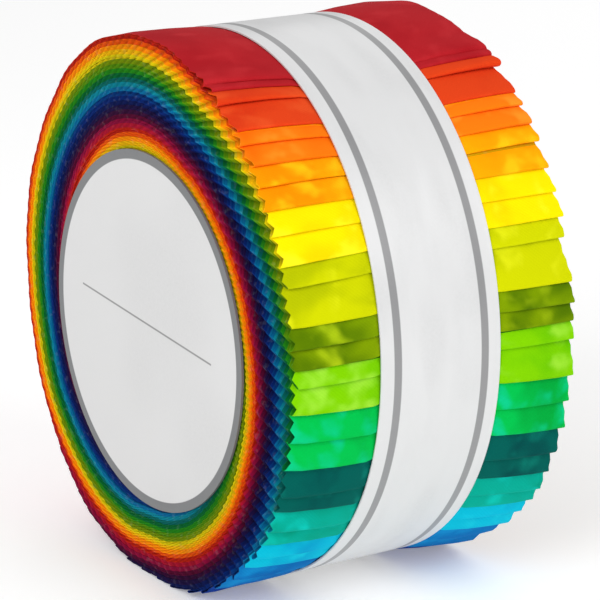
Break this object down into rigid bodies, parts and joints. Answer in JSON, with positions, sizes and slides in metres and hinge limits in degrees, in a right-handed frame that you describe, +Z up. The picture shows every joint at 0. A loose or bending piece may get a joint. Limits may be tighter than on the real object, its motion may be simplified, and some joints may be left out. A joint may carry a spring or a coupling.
{
  "type": "jelly roll of fabric strips",
  "caption": "Jelly roll: pinked cotton strips in rainbow order, folded, wound into a fat roll, with a plain paper band and a plain paper disc.",
  "frame": {"origin": "middle of the small flat spot under the roll, on the surface it stands on", "axes": "+Z up, Y along the roll's axis with the paper disc on the -Y face, +X to the right as seen from the disc"},
  "size_m": [0.1137, 0.0644, 0.1162],
  "materials": {
    "cotton": "woven cotton, mottled dye in a rainbow of colours, pinked edges",
    "band_paper": "smooth white paper with a grey stripe along each edge",
    "disc_paper": "pale grey card with a grey ring round its rim"
  },
  "bodies": {
    "root": {"fabric_roll": "cotton", "paper_band": "band_paper", "paper_disc": "disc_paper"}
  },
  "joints": []
}
